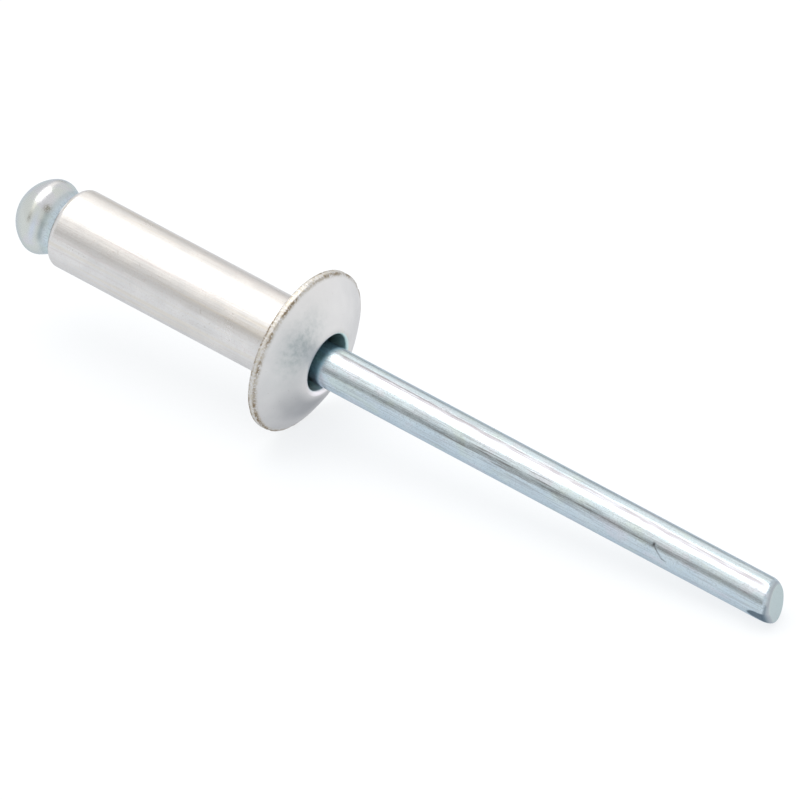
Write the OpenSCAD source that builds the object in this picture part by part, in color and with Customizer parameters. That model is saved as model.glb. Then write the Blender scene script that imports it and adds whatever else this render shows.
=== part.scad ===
// Open-end dome-head blind rivet, unset: a hollow aluminium body threaded on a steel mandrel.
// Millimetres. The rivet lies at rest on its flange's rim and on the mandrel's tip.
// X runs from the mandrel's head to its tip, Z is up, and the floor is at Z = 0.
// Both pieces are drawn upright about Z, with the flange's underside at Z = 0, and then laid down.

/* [Body] */
// Outside diameter of the hollow shank
body_d = 4.8; // [4.65:0.01:4.88]
// Length of the shank, from the flange's underside to the tail end
body_len = 16.5; // [8:0.5:25]
// Play of the wire in the bore, as the difference between the two diameters
bore_play = 0.3; // [0.2:0.02:0.4]
// Radius of the rounded outer edge at the tail end
tail_round = 0.45; // [0.1:0.05:0.5]
// Fillet between the shank and the flange's underside
seat_fillet = 0.2; // [0.1:0.05:0.4]

/* [Flange] */
// Diameter of the flange
flange_d = 9.86; // [8.3:0.02:10.1]
// Height of the rim's upright wall, up to where its top edge starts to round
rim_wall = 0.25; // [0.15:0.01:0.4]
// Radius of the rim's edge on the underside
rim_under_round = 0.06; // [0.02:0.01:0.1]
// Radius of the rim's edge on the domed side
rim_top_round = 0.08; // [0.02:0.01:0.15]
// Height of the dome's crest around the mouth, above the underside
dome_h = 1.65; // [1.2:0.05:2]
// Radius of the shallow dome's arc in section
dome_r = 16; // [12:1:40]
// Diameter of the crest around the mouth
mouth_d = 3.9; // [3.5:0.05:4.4]
// Radius of the mouth's rolled edge
mouth_round = 0.2; // [0.1:0.02:0.25]
// Height above the underside at which the flared mouth has narrowed to the bore
throat_h = 0.05; // [0.05:0.05:0.6]

/* [Mandrel] */
// Diameter of the wire
wire_d = 2.5; // [2.4:0.01:2.52]
// Length of the wire past the flange's underside, measured on its axis
wire_out = 33.75; // [28:0.25:40]
// Diameter left in the notch where the wire snaps when the rivet is set
break_d = 1.9; // [1.6:0.1:2.2]
// Width of the notch along the wire
break_w = 0.7; // [0.4:0.1:1]
// Distance from the shank's tail end to the middle of the notch
break_at = 1.4; // [1:0.1:3]
// Radius of the rounded edge at the wire's tip
tip_round = 0.5; // [0.3:0.05:0.6]
// Slant of the sheared end face
tip_slant = 9; // [0:1:10]
// Length of the flat left beside the sheared end
flat_len = 1.5; // [0.5:0.1:2.5]
// Angle between that flat and the wire
flat_slope = 7.5; // [3:0.5:9]
// Turn about the wire from straight down to the flat, which is the end's longer side
tip_turn = -42; // [-90:1:90]
// Gap left under the wire where it has settled in the bore
settled_gap = 0.02; // [0.01:0.01:0.05]

/* [Mandrel head] */
// Diameter of the head
head_d = 4.5; // [4:0.05:4.6]
// Radius of the head's rounded edge
head_edge_r = 0.95; // [0.7:0.05:1.1]
// Height from the head's widest ring to the top of its crown
crown_h = 1.78; // [1.5:0.02:2]
// Height from the shank's tail end to the head's widest ring
under_h = 1.52; // [1.3:0.02:1.8]
// Diameter of the head's underside where it seats on the shank's tail end
head_seat_d = 3.2; // [3.1:0.05:3.5]

/* [Hidden] */
$fn = 96;

body_rad = body_d / 2;
bore_rad = (wire_d + bore_play) / 2;
flange_rad = flange_d / 2;
mouth_rad = mouth_d / 2;
wire_rad = wire_d / 2;
head_rad = head_d / 2;

// How far the settled wire lies below the body's axis
wire_drop = bore_play / 2 - settled_gap;

aluminium = [0.82, 0.81, 0.79];
zinc_plate = [0.72, 0.76, 0.8];

// Amount by which a cutting shape reaches past what it cuts
over = 2;

// Dome: its arc touches the rim's rounded edge and the mouth's rolled edge from outside.
rim_c = [flange_rad - rim_top_round, rim_wall];
mouth_c = [mouth_rad, dome_h - mouth_round];
rim_reach = dome_r - rim_top_round;
mouth_reach = dome_r - mouth_round;
apart = norm(mouth_c - rim_c);
toward = (mouth_c - rim_c) / apart;
along = (rim_reach * rim_reach - mouth_reach * mouth_reach + apart * apart) / (2 * apart);
aside = sqrt(rim_reach * rim_reach - along * along);
dome_c = rim_c + along * toward + aside * [-toward[1], toward[0]];
rim_out = (rim_c - dome_c) / norm(rim_c - dome_c);
mouth_out = (mouth_c - dome_c) / norm(mouth_c - dome_c);

// Mouth: its wall runs from the bore to a tangent on the rolled edge.
throat = [bore_rad, throat_h];
throat_way = throat - mouth_c;
throat_turn = atan2(throat_way[1], throat_way[0]) - acos(mouth_round / norm(throat_way));
mouth_tangent = mouth_c + mouth_round * [cos(throat_turn), sin(throat_turn)];

// Head: a crown arc that runs on into the rounded edge, then a cone tangent to that edge.
edge_c = head_rad - head_edge_r;
crown_r = (edge_c * edge_c + crown_h * crown_h - head_edge_r * head_edge_r)
    / (2 * (crown_h - head_edge_r));
crown_c = crown_h - crown_r;
crown_turn = atan2(-crown_c, edge_c);
cone_way = [head_seat_d / 2 - edge_c, -under_h];
cone_turn = atan2(cone_way[1], cone_way[0]) + acos(head_edge_r / norm(cone_way));

// Tip: the rounding tool is wide enough to leave no step on the slanted end's short side.
tip_tool_rad = wire_rad * cos(tip_slant)
    + (wire_rad * tan(tip_slant) + tip_round) * sin(tip_slant);
tip_long = (wire_rad - flat_len * tan(flat_slope)) * tan(tip_slant);

// How far the tip's lowest edge lies short of the wire's nominal end
tip_edge_drop = 0.045;

// Rest: the line under the rim's rounded edge and the tip's lowest edge lies on the floor.
touch_gap = wire_out - tip_edge_drop - rim_wall;
touch_fall = rim_c[0] - wire_rad - wire_drop;
lean = atan(touch_fall / touch_gap) + asin(rim_top_round / norm([touch_fall, touch_gap]));
lift = rim_c[0] * cos(lean) + rim_wall * sin(lean) + rim_top_round;

// Middle of the length, so that the origin lies under the middle of the whole rivet
head_reach = (body_len + under_h + crown_c) * cos(lean) + crown_r + wire_drop * sin(lean);
tip_reach = (wire_out + tip_long) * cos(lean) - wire_rad * cos(tip_turn) * sin(lean);
middle = (tip_reach - head_reach) / 2;

// Lays down what is drawn upright: the upright model's +X points down afterwards.
module laid_down() {
    translate([-middle, 0, lift])
        rotate([0, 90 + lean, 0])
            children();
}

// Section of the flange, with its dome, rim and flared mouth
module flange_section() {
    intersection() {
        translate(dome_c)
            circle(r = dome_r, $fn = 360);
        polygon([
            [bore_rad, 0],
            [flange_rad - rim_under_round, 0],
            [flange_rad - rim_under_round, rim_under_round],
            [flange_rad, rim_under_round],
            [flange_rad, rim_wall],
            rim_c,
            rim_c + over * rim_out,
            mouth_c + over * mouth_out,
            mouth_c,
            mouth_tangent,
            throat
        ]);
    }
    translate([flange_rad - rim_under_round, rim_under_round])
        circle(r = rim_under_round);
    translate(rim_c)
        circle(r = rim_top_round);
    translate(mouth_c)
        circle(r = mouth_round);
}

// Section of the hollow shank, with its rounded tail and the fillet under the flange
module shank_section() {
    tail_c = [body_rad - tail_round, -body_len + tail_round];
    polygon([
        [bore_rad, -body_len],
        [tail_c[0], -body_len],
        tail_c,
        [body_rad, tail_c[1]],
        [body_rad, throat_h],
        throat
    ]);
    translate(tail_c)
        circle(r = tail_round);
    difference() {
        translate([body_rad - seat_fillet, -seat_fillet])
            square(2 * seat_fillet);
        translate([body_rad + seat_fillet, -seat_fillet])
            circle(r = seat_fillet);
    }
}

// The hollow body: shank and domed flange, cold-formed in one piece
module rivet_body() {
    color(aluminium)
        laid_down()
            rotate_extrude() {
                flange_section();
                shank_section();
            }
}

// Section of the mandrel's head, drawn with the shank's tail end at the height of zero
module head_section() {
    crown_way = [cos(crown_turn), sin(crown_turn)];
    cone_point = [edge_c + head_edge_r * cos(cone_turn), head_edge_r * sin(cone_turn)];
    translate([0, under_h]) {
        intersection() {
            translate([0, crown_c])
                circle(r = crown_r, $fn = 180);
            polygon([
                [0, crown_c],
                [0, crown_c] + (crown_r + over) * crown_way,
                [0, crown_r + over]
            ]);
        }
        translate([edge_c, 0])
            circle(r = head_edge_r);
        polygon([
            [0, -under_h],
            [head_seat_d / 2, -under_h],
            cone_point,
            [edge_c, 0],
            [0, crown_c]
        ]);
    }
}

// Section of the wire, with the notch where it snaps
module wire_section() {
    notch = -body_len + break_at;
    polygon([
        [0, -body_len - under_h / 2],
        [wire_rad, -body_len - under_h / 2],
        [wire_rad, notch - break_w / 2],
        [break_d / 2, notch],
        [wire_rad, notch + break_w / 2],
        [wire_rad, wire_out + over],
        [0, wire_out + over]
    ]);
}

// Tool that rounds the wire's slanted end
module tip_rounding() {
    rotate([0, 0, tip_turn])
        translate([0, 0, wire_out])
            rotate([0, -tip_slant, 0])
                rotate_extrude()
                    difference() {
                        translate([0, -tip_round])
                            square([wire_d, 2 * over]);
                        translate([0, -tip_round])
                            square([tip_tool_rad - tip_round, tip_round]);
                        translate([tip_tool_rad - tip_round, -tip_round])
                            circle(r = tip_round);
                    }
}

// Tool that leaves the flat beside the sheared end
module tip_flat() {
    rotate([0, 0, tip_turn])
        translate([wire_rad, 0, wire_out - flat_len])
            rotate([0, -flat_slope, 0])
                translate([0, -wire_d, 0])
                    cube([wire_d, 2 * wire_d, flat_len + over]);
}

// The mandrel: one piece of wire with its upset head
module mandrel() {
    color(zinc_plate)
        laid_down()
            translate([wire_drop, 0, 0])
                difference() {
                    rotate_extrude() {
                        wire_section();
                        translate([0, -body_len])
                            mirror([0, 1])
                                head_section();
                    }
                    tip_rounding();
                    tip_flat();
                }
}

rivet_body();
mandrel();
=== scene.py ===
from math import acos, atan2, cos, hypot, pi, radians, sin, sqrt, tan

import bpy
import numpy as np
from mathutils import Matrix, Vector


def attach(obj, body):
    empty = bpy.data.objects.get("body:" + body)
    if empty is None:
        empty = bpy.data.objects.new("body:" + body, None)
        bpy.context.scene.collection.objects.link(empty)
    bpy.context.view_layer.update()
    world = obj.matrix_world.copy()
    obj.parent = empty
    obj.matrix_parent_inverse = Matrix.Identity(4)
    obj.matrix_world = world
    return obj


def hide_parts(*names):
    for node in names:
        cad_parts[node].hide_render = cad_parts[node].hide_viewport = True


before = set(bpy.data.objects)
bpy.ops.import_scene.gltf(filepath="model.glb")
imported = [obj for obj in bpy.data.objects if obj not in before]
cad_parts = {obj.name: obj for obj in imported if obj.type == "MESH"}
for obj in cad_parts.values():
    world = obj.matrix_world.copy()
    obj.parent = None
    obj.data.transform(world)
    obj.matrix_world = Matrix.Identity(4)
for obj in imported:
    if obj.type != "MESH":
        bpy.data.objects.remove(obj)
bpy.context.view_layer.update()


# ---- The hollow body --------------------------------------------------------------------
# Shank and domed flange are cold-formed in one from soft aluminium, bored through and
# tumbled to a satin finish. The flange's rim is left rough where the press sheared it off.

# Sizes in millimetres, on the upright rivet with the flange's underside at height zero
BODY_RAD = 2.4
BODY_LEN = 16.5
BORE_RAD = 1.4
TAIL_ROUND = 0.45
SEAT_FILLET = 0.2
FLANGE_RAD = 4.926
RIM_WALL = 0.33
RIM_UNDER_ROUND = 0.06
RIM_TOP_ROUND = 0.08
DOME_H = 1.88
DOME_R = 16.0
MOUTH_RAD = 1.95
MOUTH_ROUND = 0.2
THROAT_H = 0.05

# The lying rivet: its lean, how high the flange is lifted, and where its middle is
LEAN = radians(6.0579036)
LIFT = 4.9293
MIDDLE = 6.956406


def lay_down(down, across, height):
    """Lays the upright rivet on its rim and tip, in metres.

    x = height cos(lean) - down sin(lean) - middle, y = across, and
    z = lift - height sin(lean) - down cos(lean).
    """
    x = height * cos(LEAN) - down * sin(LEAN) - MIDDLE
    z = LIFT - height * sin(LEAN) - down * cos(LEAN)
    return np.stack([x, across, z], axis=-1) * 0.001


def arc(centre, radius, start, end, count):
    """Points of a circle: centre + radius (cos a, sin a), for a from start to end in radians."""
    a = np.linspace(start, end, count)
    return np.stack([centre[0] + radius * np.cos(a), centre[1] + radius * np.sin(a)], axis=-1)


def line(start, end, count, crowd=0.0):
    """Points between two others: start + t (end - start), crowded to both ends by 0 to 1."""
    t = np.linspace(0, 1, count + 2)
    t = (1 - crowd) * t + crowd * (0.5 - 0.5 * np.cos(pi * t))
    t = t[1:-1, None]
    return (1 - t) * np.array(start) + t * np.array(end)


def body_profile():
    """Closed section of the body: up the bore, over mouth, dome and rim, down the shank.

    The dome's arc is tangent to the rim's rounded edge and to the mouth's rolled edge, and
    the flared mouth runs from the bore to a tangent on the rolled edge.
    """
    rim = np.array([FLANGE_RAD - RIM_TOP_ROUND, RIM_WALL])
    mouth = np.array([MOUTH_RAD, DOME_H - MOUTH_ROUND])
    rim_reach, mouth_reach = DOME_R - RIM_TOP_ROUND, DOME_R - MOUTH_ROUND
    apart = np.linalg.norm(mouth - rim)
    toward = (mouth - rim) / apart
    along = (rim_reach**2 - mouth_reach**2 + apart**2) / (2 * apart)
    aside = sqrt(rim_reach**2 - along**2)
    dome = rim + along * toward + aside * np.array([-toward[1], toward[0]])
    rim_turn = atan2(*(rim - dome)[::-1])
    mouth_turn = atan2(*(mouth - dome)[::-1])
    throat = np.array([BORE_RAD, THROAT_H])
    way = throat - mouth
    throat_turn = atan2(way[1], way[0]) - acos(MOUTH_ROUND / hypot(*way)) + 2 * pi
    tangent = mouth + MOUTH_ROUND * np.array([cos(throat_turn), sin(throat_turn)])
    under = (FLANGE_RAD - RIM_UNDER_ROUND, RIM_UNDER_ROUND)
    fillet = (BODY_RAD + SEAT_FILLET, -SEAT_FILLET)
    tail = (BODY_RAD - TAIL_ROUND, -BODY_LEN + TAIL_ROUND)
    return np.concatenate([
        line((BORE_RAD, -BODY_LEN), throat, 10, 1.0),
        line(throat, tangent, 8, 0.9),
        arc(mouth, MOUTH_ROUND, throat_turn, mouth_turn, 14),
        arc(dome, DOME_R, mouth_turn, rim_turn, 46)[1:-1],
        arc(rim, RIM_TOP_ROUND, rim_turn, 0, 7),
        line((FLANGE_RAD, RIM_WALL), (FLANGE_RAD, RIM_UNDER_ROUND), 8),
        arc(under, RIM_UNDER_ROUND, 0, -pi / 2, 5),
        line((under[0], 0), (fillet[0], 0), 9, 0.9),
        arc(fillet, SEAT_FILLET, pi / 2, pi, 8),
        line((BODY_RAD, -SEAT_FILLET), (BODY_RAD, tail[1]), 34, 0.5),
        arc(tail, TAIL_ROUND, 0, -pi / 2, 12),
        line((tail[0], -BODY_LEN), (BORE_RAD, -BODY_LEN), 4, 0.9),
    ])


def waves(turn, along, count, most_turns, most_along, seed):
    """Unevenness that closes round the axis, at about -1 to 1.

    It is the sum of cos(n turn + k along + phase) with whole n, divided by sqrt(2 count).
    """
    dice = np.random.default_rng(seed)
    n = dice.integers(-most_turns, most_turns + 1, count)
    k = dice.uniform(-most_along, most_along, count)
    phase = dice.uniform(0, 2 * pi, count)
    total = np.zeros(np.broadcast(turn, along).shape)
    for wave in range(count):
        total += np.cos(n[wave] * turn + k[wave] * along + phase[wave])
    return total / sqrt(2 * count)


def bump(where, middle, width):
    """Bell curve exp(-((where - middle) / width)^2)."""
    return np.exp(-(((where - middle) / width) ** 2))


def step(where, low, high):
    """Smooth step 3 t^2 - 2 t^3 from 0 at low to 1 at high."""
    t = np.clip((where - low) / (high - low), 0, 1)
    return t * t * (3 - 2 * t)


def turn_from(turn, start):
    """How far one turn is from another, from -pi to pi: (turn - start + pi) mod 2 pi - pi."""
    return (turn - start + pi) % (2 * pi) - pi


def grid_mesh(name, points, marks, ring=False):
    """Mesh on a grid that closes round the axis; the profile closes too, or ends in two poles.

    Each quad runs (i, j), (i + 1, j), (i + 1, j + 1), (i, j + 1), so that it faces outwards.
    With poles, the first and last rows are one point each, joined by triangles.
    """
    rows, cols = points.shape[:2]
    j = np.arange(cols)
    k = (j + 1) % cols
    if ring:
        spots = points.reshape(-1, 3)
        i = np.arange(rows)[:, None] * cols
        below = (i + cols) % (rows * cols)
        faces = np.stack([i + j, below + j, below + k, i + k], axis=-1).reshape(-1, 4).tolist()
    else:
        spots = np.concatenate([points[0, :1], points[1:-1].reshape(-1, 3), points[-1, :1]])
        marks = {
            key: np.concatenate([mark[0, :1], mark[1:-1].ravel(), mark[-1, :1]])
            for key, mark in marks.items()
        }
        i = np.arange(rows - 3)[:, None] * cols + 1
        quads = np.stack([i + j, i + cols + j, i + cols + k, i + k], axis=-1).reshape(-1, 4)
        pole = len(spots) - 1
        last_row = pole - cols
        faces = quads.tolist()
        faces += np.stack([np.zeros_like(j), 1 + j, 1 + k], axis=-1).tolist()
        faces += np.stack([last_row + j, np.full_like(j, pole), last_row + k], axis=-1).tolist()
    mesh = bpy.data.meshes.new(name)
    mesh.from_pydata(spots.tolist(), [], faces)
    mesh.polygons.foreach_set("use_smooth", np.ones(len(mesh.polygons), dtype=bool))
    for key, mark in marks.items():
        mesh.attributes.new(key, "FLOAT", "POINT").data.foreach_set("value", mark.ravel())
    mesh.update()
    piece = bpy.data.objects.new(name, mesh)
    bpy.context.scene.collection.objects.link(piece)
    return piece


BODY_TURNS = 560
body_section = body_profile()
turn = np.linspace(0, 2 * pi, BODY_TURNS, endpoint=False)[None, :]
radius = body_section[:, :1] + 0 * turn
height = body_section[:, 1:] + 0 * turn

# Sheared rim: upright score lines, fine tears, and bites out of its top edge, all cut inwards
RIM_CUT = 0.012
SCORE_CUT = 0.006
TEAR_CUT = 0.006
RIM_BITES = 46
BITE_LEAST = 0.008
BITE_MOST = 0.05
on_rim = step(radius, FLANGE_RAD - 0.3, FLANGE_RAD - 0.05) * step(height, -0.01, 0.03)
rim_middle = bump(height, 0.2, 0.12)
scores = waves(turn, 0.0, 70, 240, 0, seed=3)
tears = waves(turn, height * 60, 60, 120, 1, seed=4)
dice = np.random.default_rng(5)
bite_turns = dice.uniform(0, 2 * pi, RIM_BITES)
bite_widths = dice.uniform(BITE_LEAST, BITE_MOST, RIM_BITES)
bite_depths = dice.uniform(BITE_LEAST, BITE_MOST, RIM_BITES)
bites = np.zeros_like(radius)
for place, wide, deep in zip(bite_turns, bite_widths, bite_depths):
    bites += deep * bump(turn_from(turn, place), 0, wide)
on_wall = step(radius, FLANGE_RAD - 0.12, FLANGE_RAD)
on_top_edge = step(height, 0.22, 0.38)
rim_cut = on_rim * (RIM_CUT + SCORE_CUT * scores * rim_middle + TEAR_CUT * tears)
rim_cut = np.clip(rim_cut, 0, None) + on_wall * bites * on_top_edge
radius = radius - rim_cut

# Tumbling leaves the dome and the shank very slightly uneven
DOME_UNEVEN = 0.008
SHANK_UNEVEN = 0.003
on_dome = step(height, 0.4, 0.55) * step(radius, MOUTH_RAD - 0.05, MOUTH_RAD + 0.3)
height = height - on_dome * DOME_UNEVEN * (1 + waves(turn, radius * 2.2, 24, 9, 1, seed=6))
on_shank = step(-height, 0.3, 0.8) * step(radius, BODY_RAD - 0.01, BODY_RAD)
on_shank = on_shank * step(height, -BODY_LEN + 0.4, -BODY_LEN + 1)
radius = radius - on_shank * SHANK_UNEVEN * (1 + waves(turn, height * 1.7, 30, 14, 1, seed=7))

# Where the dome's dull smudges lie, where its painted shade and painted highlight lie, and
# where the mouth's edge has a painted glint, as turns about the axis from straight down
SMUDGE_TURN = radians(-132)
PAINTED_SHADE_TURN = radians(-12)
PAINTED_HIGHLIGHT_TURN = radians(184)
PAINTED_GLINT_TURN = radians(-20)
from_smudge = turn_from(turn, SMUDGE_TURN)
from_painted_shade = turn_from(turn, PAINTED_SHADE_TURN)
from_painted_highlight = turn_from(turn, PAINTED_HIGHLIGHT_TURN)
from_painted_glint = turn_from(turn, PAINTED_GLINT_TURN)
near_mouth = step(radius, 1.9, 2.7) * (1 - 0.5 * step(radius, 3.3, 4.3))
# Below the painted glint, the inside of the mouth keeps its own colour
glinting = bump(from_painted_glint, 0, 0.42) * step(height, 1.0, 1.35)

body_marks = {
    "rim": on_rim,
    "rim_edge": on_rim * (bump(height, 0.07, 0.06) + bump(height, 0.4, 0.09)),
    "dome": on_dome,
    "smudge": on_dome * bump(radius, 3.1, 1.1) * bump(from_smudge, 0, 0.68),
    # Painted shade: the dome is painted darker around the mouth on this side
    "shade": on_dome * near_mouth * bump(from_painted_shade, 0, 1.15),
    # Painted highlight: the dome is painted lighter on this side
    "gleam": on_dome * bump(from_painted_highlight, 0, 1.15),
    # Painted glint: a pale crescent painted on the mouth's rolled edge
    "glint": bump(from_painted_glint, 0, 0.6)
    * step(-radius, -MOUTH_RAD - 0.16, -MOUTH_RAD - 0.04)
    * step(height, 1.35, 1.6),
    # Painted shade: the inside of the mouth is tinted teal, the colour of its shade
    "inside": step(-radius, -MOUTH_RAD + 0.03, -MOUTH_RAD + 0.12) * (1 - glinting),
}
body_points = lay_down(radius * np.cos(turn), radius * np.sin(turn), height)
body = grid_mesh("formed_body", body_points, body_marks, ring=True)


def node_tools(tree):
    """Two functions for a node tree: one adds a node, the other links or sets its inputs."""

    def fill(made, inputs):
        for key, value in inputs.items():
            if isinstance(value, bpy.types.NodeSocket):
                tree.links.new(value, made.inputs[key])
            else:
                made.inputs[key].default_value = value

    def add(kind, inputs=None, **settings):
        made = tree.nodes.new(kind)
        for key, value in settings.items():
            setattr(made, key, value)
        fill(made, inputs or {})
        return made

    return add, fill


def new_material(name):
    """A node material with its shader, and the two functions for its nodes."""
    material = bpy.data.materials.new(name)
    material.use_nodes = True
    shader = material.node_tree.nodes["Principled BSDF"]
    return material, shader, *node_tools(material.node_tree)


def rivet_axes(add):
    """Object coordinates, turned so that X runs along the lying rivet."""
    place = add("ShaderNodeTexCoord").outputs["Object"]
    return add("ShaderNodeMapping", {"Vector": place, "Rotation": (0, -LEAN, 0)}).outputs["Vector"]


def noise(add, vector, scale, detail, rough, stretch=(1, 1, 1)):
    """Noise of a given scale per metre; a stretch below 1 draws it out along that axis."""
    stretched = add("ShaderNodeMapping", {"Vector": vector, "Scale": stretch}).outputs["Vector"]
    inputs = {"Vector": stretched, "Scale": scale, "Detail": detail, "Roughness": rough}
    return add("ShaderNodeTexNoise", inputs).outputs["Fac"]


def rerange(add, value, low, high, new_low, new_high, kind="SMOOTHSTEP"):
    """Maps a value from one range to another, held at its ends."""
    ends = {"From Min": low, "From Max": high, "To Min": new_low, "To Max": new_high}
    made = add("ShaderNodeMapRange", {"Value": value, **ends}, interpolation_type=kind)
    return made.outputs["Result"]


def maths(add, how, first, second):
    """Result of one step of arithmetic, such as ADD or MAXIMUM, on two values."""
    return add("ShaderNodeMath", {0: first, 1: second}, operation=how).outputs[0]


def times(add, first, second):
    """Product of two values."""
    return maths(add, "MULTIPLY", first, second)


def blend(add, share, first, second, name=""):
    """Mixes two colours; the node's sockets 0, 6 and 7 are the share and the two colours."""
    made = add("ShaderNodeMix", {0: share, 6: first, 7: second}, data_type="RGBA", label=name)
    return made.outputs[2]


def mark(add, name):
    """Value of a mark that the mesh carries."""
    return add("ShaderNodeAttribute", attribute_name=name).outputs["Fac"]


def paint(add, tone, layers):
    """Lays colours over a tone, one after another.

    A layer is its name, the mark or mask where it lies (None is everywhere), the noise that
    breaks it up, its strength, and its colour. The strength is the noise's low and high
    value and the shares there, or one share where there is no noise.
    """
    for name, where, pattern, strength, colour in layers:
        share = strength if pattern is None else rerange(add, pattern, *strength)
        if isinstance(where, str):
            where = mark(add, where)
        if where is not None:
            share = times(add, where, share)
        tone = blend(add, share, tone, (*colour, 1), name)
    return tone


def relief(add, height, strength, depth, under=None):
    """Bump with a depth in metres, on top of another one."""
    inputs = {"Height": height, "Strength": strength, "Distance": depth}
    if under is not None:
        inputs["Normal"] = under
    return add("ShaderNodeBump", inputs).outputs["Normal"]


def tumbled_aluminium():
    """Satin aluminium: blotchy tone, fine tumbled grain, and draw lines along the shank.

    The dome has dull smudges, painted shade on one side and a painted highlight on the other,
    and the sheared rim has dirt in its tears. The mouth has a teal tint painted as shade inside
    it and a painted glint on its edge.
    """
    material, shader, add, fill = new_material("tumbled_aluminium")
    axes = rivet_axes(add)
    blotches = noise(add, axes, 650, 3, 0.6)
    mottle = noise(add, axes, 2600, 3, 0.6)
    specks = noise(add, axes, 5200, 1, 0.4)
    grain = noise(add, axes, 11000, 3, 0.6)
    lines = noise(add, axes, 7000, 3, 0.65, (0.03, 1, 1))
    bands = noise(add, axes, 2100, 2, 0.5, (0.02, 1, 1))
    rim_tears = noise(add, axes, 7500, 3, 0.7)
    rim_stretches = noise(add, axes, 620, 2, 0.5)
    rim, dome = mark(add, "rim"), mark(add, "dome")
    shank = maths(add, "SUBTRACT", 1.0, maths(add, "MAXIMUM", dome, rim))
    torn = rerange(add, rim_tears, 0.34, 0.54, 0, 1)
    torn_here = times(add, torn, rerange(add, rim_stretches, 0.36, 0.52, 0.3, 1))

    blotchy = rerange(add, blotches, 0.35, 0.68, 0, 1)
    tone = blend(add, blotchy, (0.66, 0.66, 0.665, 1), (0.71, 0.705, 0.705, 1))
    tone = paint(add, tone, [
        ("dark specks", None, specks, (0.68, 0.8, 0, 0.3), (0.36, 0.33, 0.29)),
        ("warm bands", shank, bands, (0.54, 0.66, 0, 0.5), (0.69, 0.645, 0.56)),
        ("rosy bands", shank, bands, (0.44, 0.33, 0, 0.6), (0.66, 0.62, 0.625)),
        ("dull draw lines", shank, lines, (0.5, 0.64, 0, 0.22), (0.5, 0.49, 0.47)),
        ("pinkish grain", shank, grain, (0.5, 0.7, 0, 0.5), (0.6, 0.55, 0.54)),
        # Painted shade on one side of the dome
        ("painted shade on the dome", "shade", None, 1.0, (0.37, 0.38, 0.4)),
        # Painted highlight on the other side of the dome
        ("painted highlight on the dome", "gleam", None, 0.75, (0.81, 0.795, 0.79)),
        ("smudges", "smudge", mottle, (0.3, 0.72, 0.35, 0.85), (0.37, 0.42, 0.425)),
        ("film on the rim", rim, rim_tears, (0.42, 0.66, 0.05, 0.8), (0.57, 0.53, 0.43)),
        ("dirt in the tears", "rim_edge", None, torn_here, (0.24, 0.18, 0.11)),
        # Teal tint painted as the mouth's shade
        ("inside of the mouth", "inside", None, 1.0, (0.62, 0.77, 0.77)),
        # Painted glint on the mouth's edge
        ("wiped edge of the mouth", "glint", None, 1.0, (0.96, 0.93, 0.97)),
    ])

    rough = rerange(add, blotches, 0.3, 0.7, 0.36, 0.27)
    rough = maths(add, "ADD", rough, times(add, rim, 0.14))
    rough = maths(add, "ADD", rough, times(add, dome, 0.05))
    tumbled = relief(add, grain, 1.0, 0.000006)
    drawn = relief(add, times(add, lines, shank), 1.0, 0.00001, tumbled)
    sheared = relief(add, times(add, rim_tears, rim), 0.8, 0.00004, drawn)
    fill(shader, {"Base Color": tone, "Roughness": rough, "Normal": sheared})
    fill(shader, {"Metallic": 1.0, "Specular Tint": (0.85, 0.85, 0.86, 1)})
    return material


body.data.materials.append(tumbled_aluminium())
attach(body, "root")
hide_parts("rivet_body")


# ---- The mandrel ------------------------------------------------------------------------
# Drawn steel wire with an upset button head, plated with bright bluish zinc. It lies loose
# in the bore, and its tip is sheared off at a slant, with a flat pressed beside the end.

WIRE_RAD = 1.25
WIRE_OUT = 33.56
WIRE_DROP = 0.13
BREAK_RAD = 0.95
BREAK_W = 0.7
BREAK_AT = 1.4
HEAD_RAD = 2.25
HEAD_EDGE_R = 0.95
CROWN_H = 1.78
UNDER_H = 1.52
HEAD_SEAT_RAD = 1.6

# The tip: its slanted end, its flat, the side on which its edge is worn most, and how far
# back its own rows reach
TIP_ROUND = 0.5
TIP_SLANT = radians(18.5)
TIP_TURN = radians(-58)
FLAT_LEN = 1.4
FLAT_RUN = 0.95
FLAT_DEPTH = 0.1
FLAT_TURN = radians(-62)
WEAR_TURN = radians(-50)
TIP_REACH = 2.2

# Stretch of the wire on which the scratch lies, where the mesh is finer
SCRATCHED_FROM = 25.4
SCRATCHED_TO = 27.1


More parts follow.
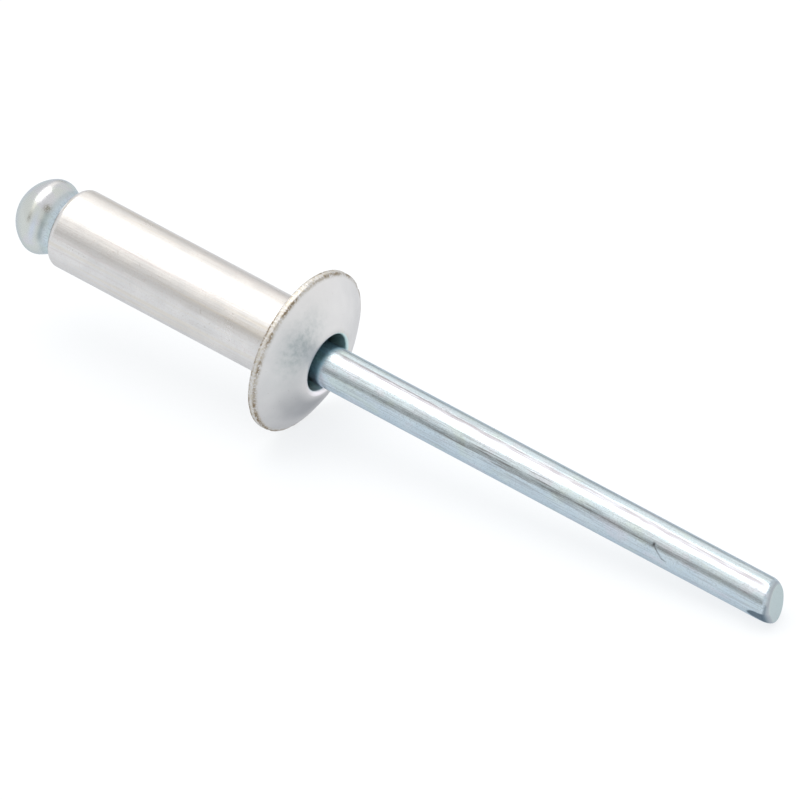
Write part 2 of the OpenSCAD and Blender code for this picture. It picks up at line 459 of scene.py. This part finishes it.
def mandrel_profile():
    """Section of the mandrel from below its sheared tip, down the wire, to the head's crown.

    The head is a crown arc that runs on into a rounded edge, then a cone tangent to that
    edge, down to the seat on the body's tail. The wire has a V notch inside the bore.
    """
    notch = -BODY_LEN + BREAK_AT
    edge = HEAD_RAD - HEAD_EDGE_R
    crown_r = (edge**2 + CROWN_H**2 - HEAD_EDGE_R**2) / (2 * (CROWN_H - HEAD_EDGE_R))
    crown = CROWN_H - crown_r
    crown_turn = atan2(-crown, edge)
    way = (HEAD_SEAT_RAD - edge, -UNDER_H)
    cone_turn = atan2(way[1], way[0]) + acos(HEAD_EDGE_R / hypot(*way))
    base = -BODY_LEN - UNDER_H
    seat_edge = (HEAD_SEAT_RAD, -BODY_LEN)
    cone = (edge + HEAD_EDGE_R * cos(cone_turn), base - HEAD_EDGE_R * sin(cone_turn))
    corners = [
        (WIRE_RAD, WIRE_OUT - TIP_REACH),
        (WIRE_RAD, SCRATCHED_TO),
        (WIRE_RAD, SCRATCHED_FROM),
        (WIRE_RAD, 0),
        (WIRE_RAD, notch + BREAK_W / 2),
        (BREAK_RAD, notch),
        (WIRE_RAD, notch - BREAK_W / 2),
        (WIRE_RAD, -BODY_LEN),
        seat_edge,
    ]
    counts = [6, 42, 32, 10, 3, 3, 3, 3]
    return np.concatenate([
        *map(line, corners[:-1], corners[1:], counts),
        line(seat_edge, cone, 22, 0.3),
        arc((edge, base), HEAD_EDGE_R, -cone_turn, -crown_turn, 24),
        arc((0, base - crown), crown_r, -crown_turn, -pi / 2, 30)[1:],
    ])


MANDREL_TURNS = 400
wire_section = mandrel_profile()
turn = np.linspace(0, 2 * pi, MANDREL_TURNS, endpoint=False)[None, :]


def end_height(toward, beside):
    """Height of the slanted end, so far toward its longer side and so far beside that.

    In the end's own frame it is flat out to a ring of radius u0, and outside that it falls
    away by r - sqrt(r^2 - (u - u0)^2); the height is found by repeated substitution.
    """
    reach = WIRE_RAD * tan(TIP_SLANT) + TIP_ROUND
    ring = WIRE_RAD * cos(TIP_SLANT) + reach * sin(TIP_SLANT) - TIP_ROUND
    rise = toward * tan(TIP_SLANT)
    for _ in range(40):
        out = np.hypot(toward * cos(TIP_SLANT) + rise * sin(TIP_SLANT), beside)
        past = np.clip(out - ring, 0, TIP_ROUND)
        fall = TIP_ROUND - np.sqrt(TIP_ROUND**2 - past**2)
        rise = 0.5 * (rise + (toward * sin(TIP_SLANT) - fall) / cos(TIP_SLANT))
    return WIRE_OUT + rise


def side_radius(height, ahead):
    """Radius of the wire's side near the tip; ahead is the cosine of the turn from the flat.

    The flat's depth is FLAT_DEPTH (1 - (1 - u)^2) with u the share of its run-in, and the
    cut d off the round wire is softened to (d + sqrt(d^2 + 0.01^2)) / 2.
    """
    run = np.clip((height - WIRE_OUT + FLAT_LEN) / FLAT_RUN, 0, 1)
    reach = WIRE_RAD - FLAT_DEPTH * (1 - (1 - run) ** 2)
    cut = np.where(ahead > 0.3, WIRE_RAD - reach / np.maximum(ahead, 0.3), -1)
    return WIRE_RAD - 0.5 * (cut + np.sqrt(cut**2 + 0.01**2)) * step(run, 0, 0.1)


def worn_curve(t, start, edge, end):
    """Curve (1 - t)^2 start + 2 t (1 - t) edge + t^2 end, which rounds a sharp edge."""
    return (1 - t) ** 2 * start + 2 * t * (1 - t) * edge + t**2 * end


# Sheared tip: rows over the slanted end, round its worn edge, and down the side. The edge is
# worn by so much in on the end and so much down the side, plus more on its most worn side.
END_ROWS = 24
WORN_ROWS = 10
SIDE_ROWS = 26
WORN_IN = 0.22
WORN_IN_MORE = 0.1
WORN_DOWN = 0.34
WORN_DOWN_MORE = 0.66
ahead, aside = np.cos(turn - TIP_TURN), np.sin(turn - TIP_TURN)
flat_ahead = np.cos(turn - FLAT_TURN)
worn = bump(turn_from(turn, WEAR_TURN), 0, 0.96)
edge_radius = 0 * turn + WIRE_RAD
for _ in range(12):
    edge_height = end_height(edge_radius * ahead, edge_radius * aside)
    edge_radius = side_radius(edge_height, flat_ahead)
share = np.linspace(0, 1, END_ROWS)[:, None]
end_radius = share * (1.7 - 0.7 * share) * (edge_radius - WORN_IN - WORN_IN_MORE * worn)
end_rows = end_height(end_radius * ahead, end_radius * aside)
share = np.linspace(0, 1, SIDE_ROWS)[:, None]
side_top = edge_height - WORN_DOWN - WORN_DOWN_MORE * worn
side_height = side_top - (0.3 * share + 0.7 * share**2) * (side_top - WIRE_OUT + TIP_REACH)
side_rows = side_radius(side_height, flat_ahead)
t = np.linspace(0, 1, WORN_ROWS + 2)[1:-1, None]
worn_radius = worn_curve(t, end_radius[-1:], edge_radius, side_rows[:1])
worn_height = worn_curve(t, end_rows[-1:], edge_height, side_height[:1])
wire_radius, wire_height = wire_section[:, :1] + 0 * turn, wire_section[:, 1:] + 0 * turn
radius = np.concatenate([end_radius, worn_radius, side_rows, wire_radius])
height = np.concatenate([end_rows, worn_height, side_height, wire_height])
worn_part = slice(END_ROWS, END_ROWS + WORN_ROWS)
on_end, ridge = 0 * radius, 0 * radius
on_end[:END_ROWS] = 1
on_end[worn_part] = step(-t, -0.75, -0.25)
# Painted reflection: a dark band is painted round the worn edge, where the room's dark stretch
# would show
ridge[worn_part] = bump(t, 0.3, 0.22)
# Painted shade: the flat is marked to be painted dark, for the shadowed floor that it mirrors
flat_start = WIRE_OUT - FLAT_LEN
shaded_flat = step(WIRE_RAD - radius, 0.02, 0.05) * step(height, flat_start, flat_start + 0.1)
shaded_flat *= step(flat_ahead, 0.55, 0.7) * (1 - on_end)

# Upset head: slightly lumpy, with a crease where its rounded edge meets the cone underneath,
# painted dark as shade. A brown spot lies beside the crease, a painted reflection of the pale
# floor in blue on its crown side, and painted shade on the collar between it and the shank.
CREASE_AT = -17.22
CREASE_TURN = radians(-110)
STAIN_AT = -17.35
STAIN_TURN = radians(-142)
FLOOR_REFLECTION_AT = -17.66
on_head = step(-height, BODY_LEN + 0.3, BODY_LEN + 1.0)
from_crease = turn_from(turn, CREASE_TURN)
# The crease is painted dark as shade, as well as cut in
crease = bump(height, CREASE_AT, 0.15) * on_head * step(-np.abs(from_crease), -0.62, -0.3)
stain_out = np.hypot((height - STAIN_AT) / 0.2, turn_from(turn, STAIN_TURN) / 0.12)
stain = bump(stain_out, 0, 1)
# Painted reflection of the pale floor, in blue, on the crown side
flush = bump(height, FLOOR_REFLECTION_AT, 0.16) * bump(from_crease, 0.12, 0.42)
# Painted shade on the collar between the crease and the shank
collar = on_head * step(height, CREASE_AT - 0.1, CREASE_AT + 0.12)
lumps = 0.008 * (1 + waves(turn, height * 2.5, 24, 7, 1, seed=8))
lumps = on_head * (lumps + 0.035 * crease + 0.015 * bump(height, CREASE_AT, 0.08))
radius = radius * (1 - lumps / HEAD_RAD)

# A scratch with a dug-in start and a small hook at its end, as heights and turns along it.
# Its depth falls off with the distance from that path, across the wire's unrolled surface.
SCRATCH_PATH = [(25.7, radians(-118.7)), (26.4, radians(-92)), (26.68, radians(-89.5))]
SCRATCH_DEPTH = 0.012
SCRATCH_WIDTH = 0.05
around = WIRE_RAD * (turn - 2 * pi)
dug_h, dug_a = SCRATCH_PATH[0]
scar = 1.3 * bump(np.hypot(height - dug_h, around - WIRE_RAD * dug_a), 0, 2 * SCRATCH_WIDTH)
for (h0, a0), (h1, a1) in zip(SCRATCH_PATH[:-1], SCRATCH_PATH[1:]):
    on, off = h1 - h0, WIRE_RAD * (a1 - a0)
    past, beside = height - h0, around - WIRE_RAD * a0
    share = np.clip((past * on + beside * off) / (on**2 + off**2), 0, 1)
    gap = np.hypot(past - share * on, beside - share * off)
    scar = np.maximum(scar, bump(gap, 0, SCRATCH_WIDTH) * (0.8 - 0.35 * share))
scar = np.clip(scar, 0, 1) * step(radius, WIRE_RAD - 0.01, WIRE_RAD) * step(height, 20, 21)
radius = radius - SCRATCH_DEPTH * scar

# A line left by the drawing die, which winds slowly round the wire
DIE_DEPTH = 0.004
DIE_AT = 6.8
DIE_TURN = radians(-170.3)
DIE_WINDING = radians(0.37)
from_die = turn_from(turn, DIE_TURN + DIE_WINDING * (height - DIE_AT))
die_line = step(-np.abs(from_die), -0.15, -0.07)
die_line = die_line * step(height, 2.2, 3) * step(-height, -WIRE_OUT, -WIRE_OUT + 1)
radius = radius - DIE_DEPTH * die_line

# Scuffs along the upper side of the wire, strongest halfway
SCUFFS_AT = 16.5
SCUFFS_TURN = radians(-122)
scuffs = bump(height, SCUFFS_AT, 6.5) * bump(turn_from(turn, SCUFFS_TURN), 0, 0.34)

mandrel_marks = {
    "head": on_head,
    "crease": crease,
    "scuffs": scuffs,
    "die_line": die_line,
    "scar": scar,
    # Painted shade on the flat
    "sheared": shaded_flat,
    "end": on_end,
    "ridge": ridge,
    "stain": stain,
    "flush": flush,
    "collar": collar,
}
wire_points = lay_down(radius * np.cos(turn) + WIRE_DROP, radius * np.sin(turn), height)
mandrel = grid_mesh("drawn_mandrel", wire_points, mandrel_marks)


def bright_zinc():
    """Bluish zinc plate over drawn wire: lengthwise draw lines, faint film tints, dull marks,
    and painted shade and painted reflections on the head and the tip.
    """
    material, shader, add, fill = new_material("bright_zinc")
    axes = rivet_axes(add)
    clouds = noise(add, axes, 700, 3, 0.6)
    film = noise(add, axes, 1100, 2, 0.5, (0.5, 1, 1))
    lines = noise(add, axes, 6500, 4, 0.75, (0.03, 1, 1))
    streaks = noise(add, axes, 9000, 3, 0.7, (0.03, 1, 1))
    broken = noise(add, axes, 9000, 2, 0.6, (0.08, 1, 1))
    grain = noise(add, axes, 12000, 2, 0.5)
    head = mark(add, "head")
    wire = maths(add, "SUBTRACT", 1.0, head)

    cloudy = rerange(add, clouds, 0.35, 0.65, 0, 1)
    tone = blend(add, cloudy, (0.5, 0.6, 0.675, 1), (0.54, 0.63, 0.69, 1))
    tone = paint(add, tone, [
        ("violet film", None, film, (0.54, 0.68, 0, 0.5), (0.58, 0.585, 0.66)),
        ("green film", None, film, (0.45, 0.32, 0, 0.5), (0.52, 0.61, 0.58)),
        ("fine draw lines", wire, streaks, (0.46, 0.66, 0, 0.55), (0.38, 0.42, 0.46)),
        ("paler head", head, None, 0.8, (0.61, 0.62, 0.575)),
        ("clouds on the head", head, clouds, (0.5, 0.62, 0, 0.6), (0.6, 0.59, 0.64)),
        # Painted shade on the collar
        ("painted shade on the collar", "collar", None, 0.75, (0.36, 0.43, 0.44)),
        # Painted reflection of the floor
        ("blue flush", "flush", None, 0.7, (0.56, 0.62, 0.74)),
        ("dark grain", wire, grain, (0.5, 0.72, 0, 0.45), (0.3, 0.325, 0.35)),
        ("scuffs", "scuffs", streaks, (0.5, 0.62, 0, 0.85), (0.2, 0.21, 0.22)),
        ("line of the die", "die_line", broken, (0.35, 0.6, 0.75, 1), (0.265, 0.26, 0.285)),
        # Painted shade in the crease
        ("crease", "crease", clouds, (0.35, 0.6, 0.3, 0.8), (0.17, 0.23, 0.24)),
        ("brown spot", "stain", grain, (0.4, 0.56, 0.35, 0.9), (0.2, 0.19, 0.13)),
        ("sheared end", "end", None, 0.8, (0.53, 0.6, 0.58)),
        # Painted dark reflection round the end's edge
        ("ridge of the end", "ridge", None, 0.5, (0.28, 0.28, 0.36)),
        ("scratch", "scar", None, 1.0, (0.12, 0.13, 0.14)),
        # Painted shade on the flat
        ("flat", "sheared", None, 1.0, (0.09, 0.13, 0.165)),
    ])

    rough = rerange(add, broken, 0.3, 0.7, 0.09, 0.2)
    rough = maths(add, "ADD", rough, times(add, head, 0.12))
    rough = maths(add, "ADD", rough, times(add, mark(add, "die_line"), 0.08))
    grained = relief(add, grain, 0.5, 0.000004)
    drawn = relief(add, times(add, lines, wire), 1.0, 0.000012, grained)
    fill(shader, {"Base Color": tone, "Roughness": rough, "Normal": drawn})
    fill(shader, {"Metallic": 1.0, "Specular Tint": (0.7, 0.75, 0.8, 1)})
    return material


mandrel.data.materials.append(bright_zinc())
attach(mandrel, "root")
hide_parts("mandrel")


# ---- The floor --------------------------------------------------------------------------
# A plain white table, far wider than the rivet, that keeps the rivet's soft shadow. The
# camera sees it three quarters of the way to plain white, and reflections a little more.

FLOOR_HALF = 12.0
WHITE_SEEN = 0.76
WHITE_MIRRORED = 0.83
floor_corners = [
    (across * FLOOR_HALF, along * FLOOR_HALF, 0)
    for across, along in ((-1, -1), (1, -1), (1, 1), (-1, 1))
]
floor_mesh = bpy.data.meshes.new("floor")
floor_mesh.from_pydata(floor_corners, [], [(0, 1, 2, 3)])
floor = bpy.data.objects.new("floor", floor_mesh)
bpy.context.scene.collection.objects.link(floor)


def white_table():
    """Pale matt white, with a share of plain white by the kind of ray that sees it."""
    material, shader, add, fill = new_material("white_table")
    pale = (0.94, 0.96, 0.98, 1)
    fill(shader, {"Base Color": pale, "Roughness": 1.0, "Specular IOR Level": 0.0})
    ray = add("ShaderNodeLightPath").outputs
    seen = times(add, ray["Is Camera Ray"], WHITE_SEEN)
    mirrored = maths(add, "MAXIMUM", ray["Is Glossy Ray"], ray["Is Transmission Ray"])
    white_share = maths(add, "MAXIMUM", seen, times(add, mirrored, WHITE_MIRRORED))
    white = add("ShaderNodeEmission", {"Color": (0.985, 1.0, 1.015, 1), "Strength": 1.0})
    looks = {0: white_share, 1: shader.outputs[0], 2: white.outputs[0]}
    mixed = add("ShaderNodeMixShader", looks).outputs[0]
    fill(material.node_tree.nodes["Material Output"], {"Surface": mixed})
    return material


floor_mesh.materials.append(white_table())


# ---- The light --------------------------------------------------------------------------
# One large softbox overhead, a little beyond the rivet, in a pale room. One stretch of the
# room darkens towards the horizon, and the dark bands in the metal are its reflection.

softbox_data = bpy.data.lights.new("softbox", "AREA")
softbox_data.shape = "RECTANGLE"
softbox_data.size = 0.9
softbox_data.size_y = 0.78
softbox_data.energy = 3.95
softbox_data.color = (1.0, 0.975, 0.94)
softbox = bpy.data.objects.new("softbox", softbox_data)
softbox.location = (-0.35, 0.065, 1.0)
softbox.rotation_euler = Vector(softbox.location).to_track_quat("Z", "Y").to_euler()
bpy.context.scene.collection.objects.link(softbox)

# Brightness of the dark stretch by elevation in degrees, and the colour of the rest of the
# room. On each side the stretch fades out between two values of a direction's X.
ROOM_LEVEL = 1.45
ROOM_TINT = (1.04, 1.0, 0.94)
ROOM_TILT = radians(8)
ROOM_LOW = -0.35
ROOM_SHADES = [
    (-14, 0.82),
    (-6.5, 0.72),
    (-3, 0.48),
    (1, 0.34),
    (6, 0.3),
    (12, 0.38),
    (17, 0.52),
    (23, 0.68),
    (31, 0.87),
    (40, 0.97),
]
ROOM_PLAIN = (0.66, 0.66, 0.66, 1)
STRETCH_LEFT = (-0.48, -0.6)
STRETCH_RIGHT = (-0.33, -0.18)
room = bpy.data.worlds.new("room")
bpy.context.scene.world = room
room.use_nodes = True
add, fill = node_tools(room.node_tree)
way = add("ShaderNodeTexCoord").outputs["Generated"]
overhead = (0, sin(ROOM_TILT), cos(ROOM_TILT))
rise = add("ShaderNodeVectorMath", {0: way, 1: overhead}, operation="DOT_PRODUCT").outputs["Value"]
ramp = add("ShaderNodeValToRGB", {0: rerange(add, rise, ROOM_LOW, 1, 0, 1, "LINEAR")})
sideways = add("ShaderNodeSeparateXYZ", {0: way}).outputs["X"]
left = rerange(add, sideways, *STRETCH_LEFT, 0, 1)
right = rerange(add, sideways, *STRETCH_RIGHT, 0, 1)
shown = blend(add, maths(add, "MAXIMUM", left, right), ramp.outputs[0], ROOM_PLAIN)
fill(room.node_tree.nodes["Background"], {"Color": shown, "Strength": ROOM_LEVEL})
stops = ramp.color_ramp.elements
for slot, (elevation, shade) in enumerate(ROOM_SHADES):
    place = (sin(radians(elevation)) - ROOM_LOW) / (1 - ROOM_LOW)
    stop = stops[slot] if slot < 2 else stops.new(place)
    stop.position = place
    stop.color = (*(tint * shade for tint in ROOM_TINT), 1)


# ---- The camera -------------------------------------------------------------------------
# A long lens from in front of the tip and above it, as in the photograph: the rivet runs from
# the upper left to the lower right.

VIEW_AIM = Vector((-0.001626, 0.002135, 0.002526))
VIEW_RIGHT = Vector((0.793, 0.609, 0.0)).normalized()
VIEW_FORWARD = Vector((-0.5096, 0.6636, -0.5476)).normalized()
VIEW_WIDTH = 0.04483
camera_data = bpy.data.cameras.new("camera")
camera_data.lens = 1600
camera_data.sensor_width = 36
camera_data.clip_start = 0.5
camera_data.clip_end = 20
camera = bpy.data.objects.new("camera", camera_data)
bpy.context.scene.collection.objects.link(camera)
view_up = VIEW_RIGHT.cross(VIEW_FORWARD)
view_turn = Matrix((VIEW_RIGHT, view_up, -VIEW_FORWARD)).transposed()
view_distance = VIEW_WIDTH * camera_data.lens / camera_data.sensor_width
view_from = VIEW_AIM - view_distance * VIEW_FORWARD
camera.matrix_world = Matrix.Translation(view_from) @ view_turn.to_4x4()
bpy.context.scene.camera = camera
bpy.context.scene.view_settings.view_transform = "Standard"
